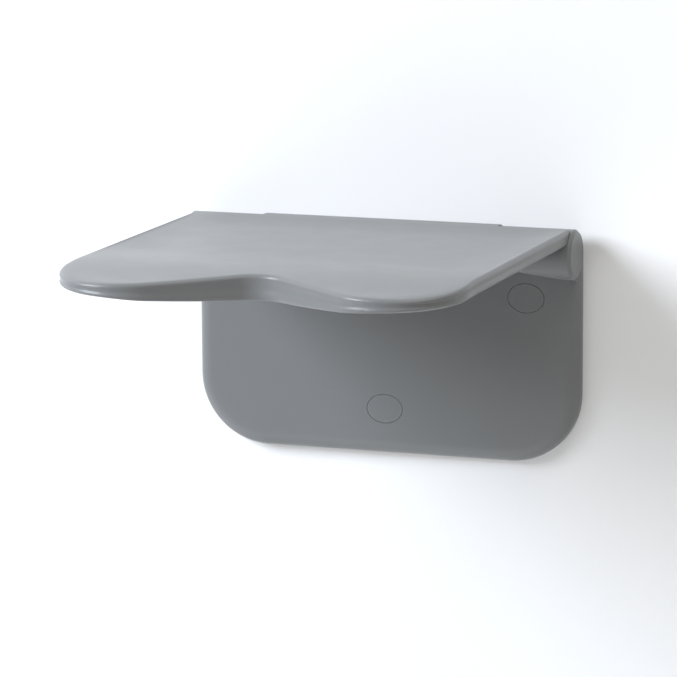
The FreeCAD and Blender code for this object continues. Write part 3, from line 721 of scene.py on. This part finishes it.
def one_sided(material):
    """Let a plane be seen through from behind."""
    tree = material.node_tree
    output = next(item for item in tree.nodes if item.type == "OUTPUT_MATERIAL")
    shader = next(item for item in tree.nodes if item.type == "BSDF_PRINCIPLED")
    side = tree.nodes.new("ShaderNodeNewGeometry")
    clear = tree.nodes.new("ShaderNodeBsdfTransparent")
    choice = tree.nodes.new("ShaderNodeMixShader")
    tree.links.new(side.outputs["Backfacing"], choice.inputs["Fac"])
    tree.links.new(shader.outputs["BSDF"], choice.inputs[1])
    tree.links.new(clear.outputs["BSDF"], choice.inputs[2])
    tree.links.new(choice.outputs["Shader"], output.inputs["Surface"])


def build_walls():
    """A pale wall, which stops no light that comes from behind it, and a pale floor."""
    wall_paint = pale_material("wall_paint", (0.82, 0.82, 0.82))
    place = (0, CAD_BOUNDS[1].y + 0.5 * MM, WALL_MIDDLE)
    wall = stage_plane("studio_wall", wall_paint, math.radians(90), place)
    wall.visible_shadow = False
    stage_plane("studio_floor", pale_material("floor_paint", (0.8, 0.79, 0.78)), 0, (0, 0, FLOOR_LEVEL))


def soft_light(name, power, width, height, place, aim, colour):
    """A rectangular softbox at a place, turned to its aim."""
    light = bpy.data.lights.new(name, "AREA")
    light.shape = "RECTANGLE"
    light.size, light.size_y = width, height
    light.energy = power
    light.color = colour
    lamp = bpy.data.objects.new(name, light)
    bpy.context.scene.collection.objects.link(lamp)
    lamp.location = place
    lamp.rotation_euler = (Vector(aim) - Vector(place)).to_track_quat("-Z", "Y").to_euler()


def build_lights(studio):
    """A key from the left, a light overhead, one behind the wall, and a faint warm light all round."""
    cool, warm, white = (0.92, 0.985, 1.09), (1.0, 0.97, 0.93), (1.0, 1.0, 1.0)
    soft_light("key_softbox", studio.key, 1.5, 1.5, (-2.2, -1.95, 1.45), (0, -0.15, 0), cool)
    soft_light("overhead_softbox", studio.fill, 2.2, 1.4, (1.0, -0.9, 2.7), (0, -0.2, 0), warm)
    soft_light("rear_softbox", studio.rear, 1.0, 1.0, (-0.9, 2.2, -0.5), (0, 0, 0), white)
    world = bpy.data.worlds.new("studio_air")
    world.use_nodes = True
    background = world.node_tree.nodes["Background"]
    background.inputs["Color"].default_value = (1.0, 0.975, 0.91, 1.0)
    background.inputs["Strength"].default_value = studio.ambient
    bpy.context.scene.world = world


def build_camera(studio):
    """The camera to the right of the seat and a little above it."""
    turn, rise = studio.azimuth, studio.elevation
    view = Vector((-math.sin(turn) * math.cos(rise), math.cos(turn) * math.cos(rise), -math.sin(rise)))
    level = Vector((math.cos(turn), math.sin(turn), 0))
    up = level.cross(view)
    right = math.cos(studio.roll) * level + math.sin(studio.roll) * up
    up = math.cos(studio.roll) * up - math.sin(studio.roll) * level
    middle, aside, below = Vector((0, -25 * MM, -13 * MM)), 43.1 * MM, 33.5 * MM
    place = middle - view * studio.distance - right * aside - up * below
    camera = bpy.data.cameras.new("studio_camera")
    camera.lens = studio.lens
    camera.clip_end = 30
    holder = bpy.data.objects.new("studio_camera", camera)
    bpy.context.scene.collection.objects.link(holder)
    facing = Matrix((right, up, -view)).transposed().to_4x4()
    holder.matrix_world = Matrix.Translation(place) @ facing
    bpy.context.scene.camera = holder


# ---------------------------------------------------------------- operators


class SEAT_OT_board(bpy.types.Operator):
    """Build the board that is sat on."""

    bl_idname = "seat.board"
    bl_label = "Board"

    def execute(self, context):
        build_board(context.scene.seat_board, finish_of("grey_plastic"))
        return {"FINISHED"}


class SEAT_OT_knuckle(bpy.types.Operator):
    """Build the knuckle and the neck that hang the board on its shaft."""

    bl_idname = "seat.knuckle"
    bl_label = "Knuckle"

    def execute(self, context):
        build_knuckle(context.scene.seat_board, finish_of("grey_plastic"))
        return {"FINISHED"}


class SEAT_OT_heel(bpy.types.Operator):
    """Build the heel that holds the board level."""

    bl_idname = "seat.heel"
    bl_label = "Heel"

    def execute(self, context):
        scene = context.scene
        build_heel(scene.seat_heel, scene.seat_board, finish_of("grey_plastic"))
        return {"FINISHED"}


class SEAT_OT_finishes(bpy.types.Operator):
    """Give every carried-over part the finish of its record slot."""

    bl_idname = "seat.finishes"
    bl_label = "Finishes"

    def execute(self, context):
        for part in frame["record"]["subparts"]:
            slots = frame["nodes"][part["node"]].data.materials
            slots.clear()
            slots.append(finish_of(part["material_slot"]))
        return {"FINISHED"}


class SEAT_OT_stage(bpy.types.Operator):
    """Set up the wall, the floor, the lights and the camera."""

    bl_idname = "seat.stage"
    bl_label = "Studio"

    def execute(self, context):
        studio = context.scene.seat_studio
        build_walls()
        build_lights(studio)
        build_camera(studio)
        context.scene.view_settings.view_transform = "Standard"
        return {"FINISHED"}


class SEAT_PT_panel(bpy.types.Panel):
    """Lists the steps and their settings."""

    bl_idname = "SEAT_PT_panel"
    bl_label = "Shower seat"
    bl_space_type = "VIEW_3D"
    bl_region_type = "UI"
    bl_category = "Shower seat"

    def draw(self, context):
        for step in STEPS:
            self.layout.operator(step.bl_idname)
        for name, group in GROUPS.items():
            for setting in group.__annotations__:
                self.layout.prop(getattr(context.scene, name), setting)


STEPS = (SEAT_OT_board, SEAT_OT_knuckle, SEAT_OT_heel, SEAT_OT_finishes, SEAT_OT_stage)
GROUPS = {
    "seat_board": BoardSettings,
    "seat_heel": HeelSettings,
    "seat_finish": FinishSettings,
    "seat_studio": StudioSettings,
}


def register():
    for item in (*GROUPS.values(), *STEPS, SEAT_PT_panel):
        bpy.utils.register_class(item)
    for name, group in GROUPS.items():
        setattr(bpy.types.Scene, name, bpy.props.PointerProperty(type=group))


def unregister():
    for name in GROUPS:
        delattr(bpy.types.Scene, name)
    for item in reversed((*GROUPS.values(), *STEPS, SEAT_PT_panel)):
        bpy.utils.unregister_class(item)


def main():
    register()
    for step in STEPS:
        group, name = step.bl_idname.split(".")
        getattr(getattr(bpy.ops, group), name)()


if __name__ == "__main__":
    main()
